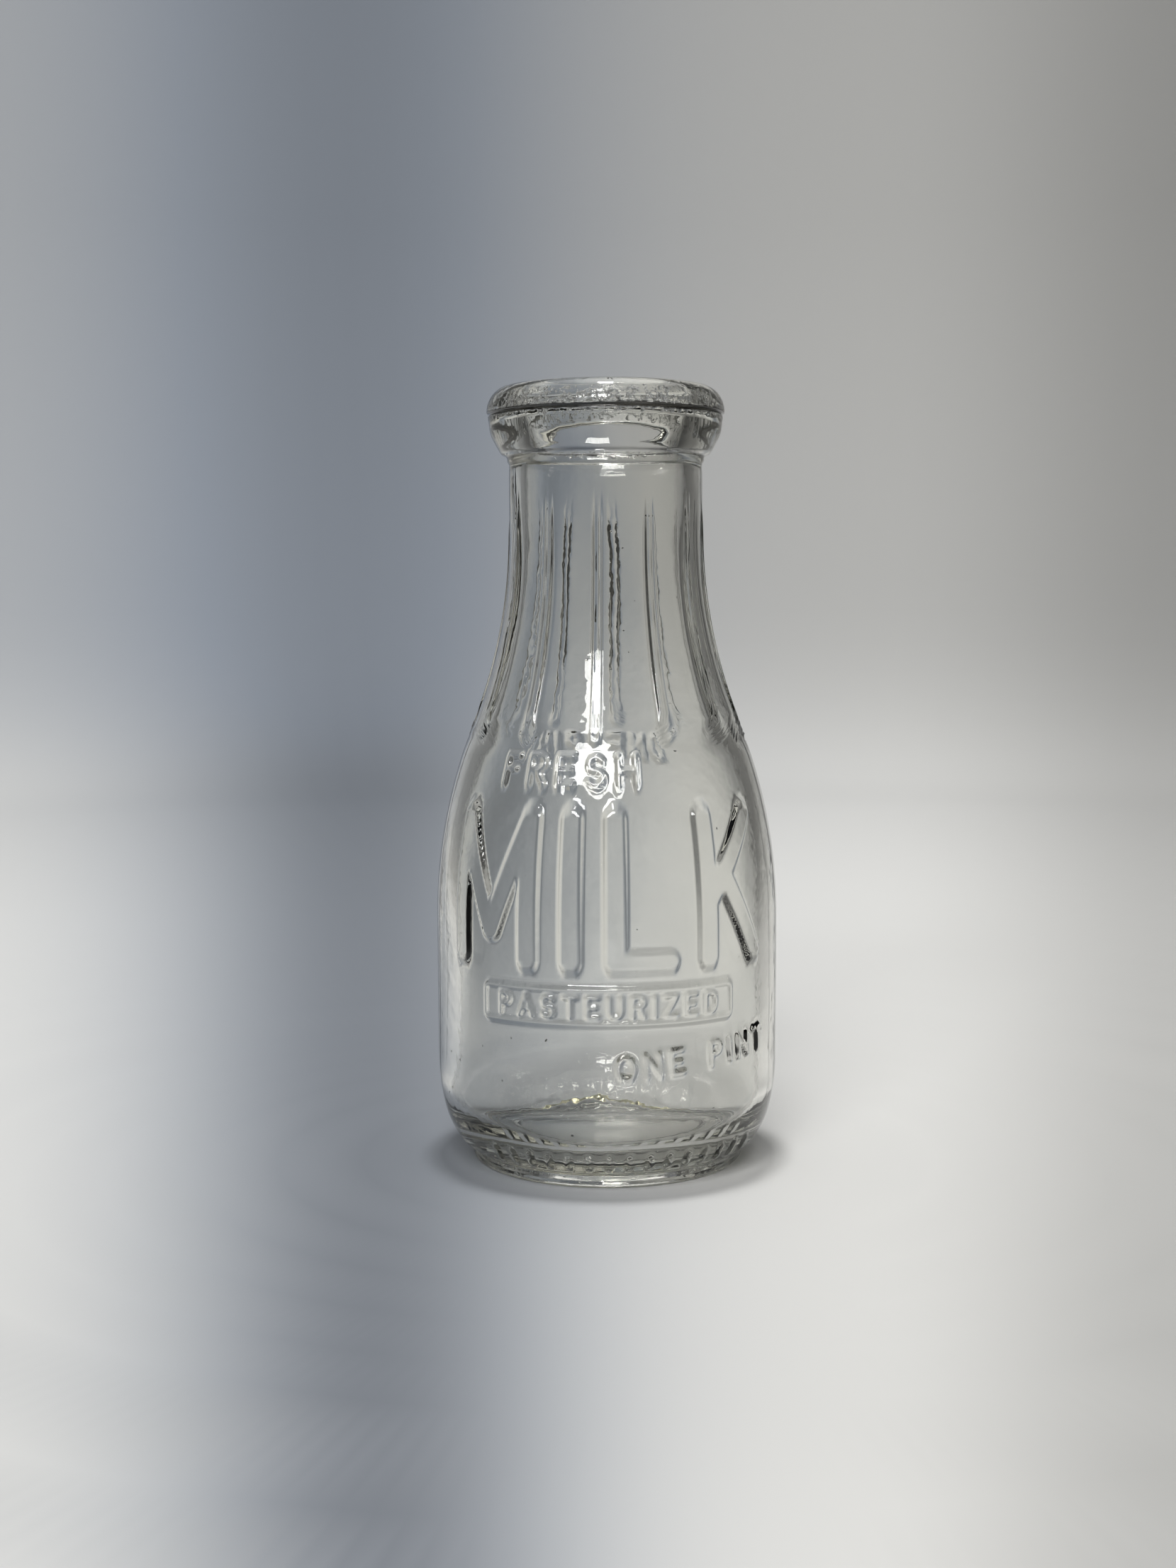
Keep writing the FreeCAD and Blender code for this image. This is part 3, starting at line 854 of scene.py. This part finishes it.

# Painted light on the sweep's floor by its depth from front to back, and on its wall. Headings are
# degrees to the right of straight back from a point in front of the bottle.
PAPER_WARM = "#e5e4e0"
# The cool colour is the tint of the painted shade on the sweep
PAPER_IN_SHADE = "#d6dfec"
FLOOR_LIGHT = ((-150.0, 350.0, 800.0), (0.70, 0.98, 1.16))
WALL_LIGHT = 0.80
HEADING_FROM = (-4.0, -486.0)
SHADOW_HEADING = -6.5
SHADOW_WIDTH = 6.6
SHADOW_ON_FLOOR = 0.69
SHADOW_ON_WALL = 0.45

# Falls of the painted light to the sides: by how much, from which heading and over how many degrees
RIGHT_FALL = (0.33, 8.0, 9.0)
SIDE_FALLS = ((0.5, 17.5, 12.0), (0.7, 32.0, 22.0))

# Painted light gathered under the bottle, and the painted dark ring round it
POOL_LIGHT = 0.38
POOL_RADIUS = 38.0
POOL_EDGE = 8.0
RING_SHADE = 0.13
RING_RADIUS = 41.5
RING_WIDTH = 2.2


def left_after(fall, heading):
    """The share of light left at each heading after one of the falls to the sides."""
    much, start, over = fall
    return 1 - much * ramp(heading - start, over)


def paper_colour(x, y):
    """Colour of each place on the sweep, as linear red, green, blue and alpha.

    The light and shade on the sweep are painted into this colour. The light grows from the front
    of the floor to its back, and falls again up the bend to the wall. A painted soft upright shadow
    fans out on the left, a Gaussian across, and is cooler than the rest. To both sides of the lit
    part, floor and wall fall off to a dimmer grey. Under the bottle a painted pool of light stands
    for the light the glass gathers there, with a faint painted dark ring round it.
    """
    heading = np.degrees(np.arctan2(x - HEADING_FROM[0], y - HEADING_FROM[1]))
    from_axis = np.hypot(x, y)
    wall = ramp(from_axis - 960.0, 300.0)
    depth = np.interp(y, *FLOOR_LIGHT)
    light = depth + (WALL_LIGHT - depth) * wall
    shadow = np.exp(-((heading - SHADOW_HEADING) / SHADOW_WIDTH) ** 2) * ramp(y + 500.0, 220.0)
    light = light * (1 - (SHADOW_ON_FLOOR + (SHADOW_ON_WALL - SHADOW_ON_FLOOR) * wall) * shadow)
    light = light * left_after(RIGHT_FALL, heading)
    for fall in SIDE_FALLS:
        light = light * left_after(fall, np.abs(heading))
    ring = np.exp(-((from_axis - RING_RADIUS) / RING_WIDTH) ** 2)
    light = light * (1 + POOL_LIGHT * ramp(POOL_RADIUS - from_axis, POOL_EDGE) - RING_SHADE * ring)
    # Painted shade is tinted cool: the shadow band, and the wall to the left
    shade_tint = (0.85 + 0.25 * wall) * shadow + 0.3 * wall * ramp(-heading, 12.0)
    shade_tint = np.clip(shade_tint, 0.0, 1.0)[:, None]
    paper = np.array(linear(PAPER_WARM)) * (1 - shade_tint) + np.array(linear(PAPER_IN_SHADE)) * shade_tint
    paper[:, :3] *= light[:, None]
    return paper


def sweep():
    """A round studio sweep: flat floor, a quarter-circle bend and an upright wall, all turned
    about the bottle's axis. The floor's rings are closest under the bottle's edge."""
    floor = np.concatenate((np.arange(26, 50, 1.5), np.arange(60, 180, 20), np.arange(200, 900, 40)))
    bend = arc((SWEEP_FLOOR_RADIUS, SWEEP_BEND), SWEEP_BEND, -90, 0)[::3]
    wall = (SWEEP_FLOOR_RADIUS + SWEEP_BEND, SWEEP_WALL_TOP)
    outline = np.vstack((np.column_stack((floor, 0 * floor)), bend, [wall]))
    turn = np.radians(np.arange(0.0, 360.0, SWEEP_TURN_STEP))[None, :]
    r = outline[:, :1]
    points = np.stack((r * np.sin(turn), -r * np.cos(turn), outline[:, 1:] + 0 * turn), axis=-1)
    count = turn.shape[1]
    ids = 1 + np.arange(len(outline) * count).reshape(-1, count)
    vertices = np.vstack(([[0, 0, 0]], points.reshape(-1, 3)))
    four = quads(ids[:-1], ids[1:])[:, ::-1]
    three = fan(0, ids[0], True)
    piece = mesh_object("studio_sweep", vertices * MM, four, three)
    paper = piece.data.attributes.new("paper", "FLOAT_COLOR", "POINT")
    paper.data.foreach_set("color", paper_colour(*vertices.T[:2]).astype(np.float32).ravel())
    piece.data.materials.append(sweep_paper())


# Softboxes: name, azimuth, elevation, distance, width and height in metres, power in watts
LIGHTS = (
    ("key_softbox", -11.3, 32.2, 1.2, (0.64, 0.24), 8.6),
    ("overhead_lamp", 0.0, 90.0, 1.25, (0.14, 0.14), 8.0),
    ("front_lamp", -9.0, 55.0, 1.20, (0.20, 0.20), 2.2),
    ("overhead_softbox", 0.0, 90.0, 1.40, (1.8, 1.8), 9.0),
)
AIR_COLOUR = "#7d8086"
AIR_STRENGTH = 0.7


def soft_light(name, azimuth, elevation, distance, size, power):
    """A rectangular white softbox aimed at the bottle's middle."""
    lamp = bpy.data.lights.new(name, "AREA")
    lamp.shape = "RECTANGLE"
    lamp.size, lamp.size_y = size
    lamp.energy = power
    holder = bpy.data.objects.new(name, lamp)
    a, e = math.radians(azimuth), math.radians(elevation)
    out = np.array((math.sin(a) * math.cos(e), -math.cos(a) * math.cos(e), math.sin(e)))
    holder.location = out * distance + np.array((0, 0, OVERALL_HEIGHT / 2 * MM))
    holder.rotation_euler = (math.radians(90) - e, 0, a)
    bpy.context.scene.collection.objects.link(holder)


def studio():
    """The sweep, the softboxes and a dim even light from all round."""
    sweep()
    for light in LIGHTS:
        soft_light(*light)
    world = bpy.data.worlds.new("studio_air")
    world.use_nodes = True
    background = world.node_tree.nodes["Background"]
    background.inputs["Color"].default_value = linear(AIR_COLOUR)
    background.inputs["Strength"].default_value = AIR_STRENGTH
    bpy.context.scene.world = world


CAMERA_PLACE = (-4.3, -485.8, 135.4)
CAMERA_PITCH = 84.715
CAMERA_ROLL = 0.217
LENS = 46.38
SENSOR_WIDTH = 36.0


def camera():
    """An upright view from a little above the shoulder, slightly left of the bottle's axis."""
    data = bpy.data.cameras.new("camera")
    data.lens = LENS
    data.sensor_width = SENSOR_WIDTH
    data.clip_start = 0.01
    holder = bpy.data.objects.new("camera", data)
    holder.location = [place * MM for place in CAMERA_PLACE]
    holder.rotation_euler = (math.radians(CAMERA_PITCH), math.radians(CAMERA_ROLL), 0.0)
    bpy.context.scene.collection.objects.link(holder)
    bpy.context.scene.camera = holder


camera()
studio()
vertices, four, three, marked = bottle_mesh()
bottle = mesh_object("milk_bottle_glass", vertices, four, three)
add_attribute(bottle, "mould_mark", marked)
bottle.data.materials.append(soda_lime_glass())
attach(bottle, "root")
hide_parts(NODE)

scene = bpy.context.scene
scene.view_settings.view_transform = "Standard"
scene.cycles.max_bounces = 16
scene.cycles.transmission_bounces = 16
scene.cycles.glossy_bounces = 8
scene.cycles.sample_clamp_indirect = 25.0
